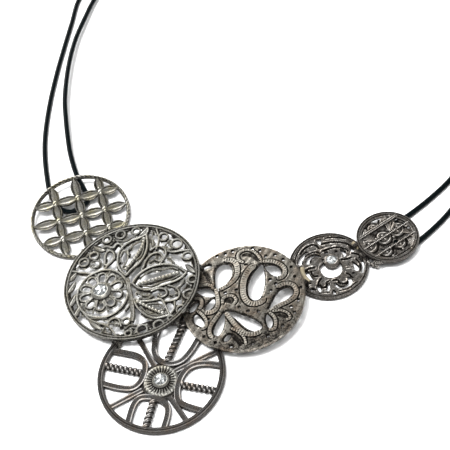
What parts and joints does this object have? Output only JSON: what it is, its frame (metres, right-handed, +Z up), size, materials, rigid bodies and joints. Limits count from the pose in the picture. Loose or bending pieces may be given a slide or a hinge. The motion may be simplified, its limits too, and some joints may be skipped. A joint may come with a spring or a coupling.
{
  "type": "leather cord necklace",
  "caption": "Bib necklace of overlapping openwork round discs in antiqued silver metal, on doubled round black leather cords with one plain clasp.",
  "frame": {"origin": "on the surface the necklace lies on, under the middle of the group of discs", "axes": "+Z up from the surface, -Y towards the front edge of the discs, +Y towards the clasp"},
  "size_m": [0.1972, 0.2576, 0.007],
  "materials": {
    "antique_silver_lattice": "antiqued, dark in the recesses",
    "antique_silver_floral": "antiqued, dark in the recesses",
    "antique_silver_wheel": "antiqued, dark in the recesses",
    "antique_silver_paisley": "antiqued, with a warm brown tarnish",
    "antique_silver_arch": "antiqued, dark in the recesses",
    "antique_silver_bar": "antiqued, dark in the recesses",
    "clasp_metal": "antiqued satin",
    "clear_stone": "faceted, clear",
    "black_leather": "glossy black"
  },
  "bodies": {
    "root": {"lattice_disc": "antique_silver_lattice", "floral_disc": "antique_silver_floral", "floral_stone": "clear_stone", "wheel_disc": "antique_silver_wheel", "wheel_stone": "clear_stone", "paisley_disc": "antique_silver_paisley", "arch_disc": "antique_silver_arch", "arch_stone": "clear_stone", "bar_disc": "antique_silver_bar", "cord_left": "black_leather", "cord_right": "black_leather", "clasp": "clasp_metal"}
  },
  "joints": []
}
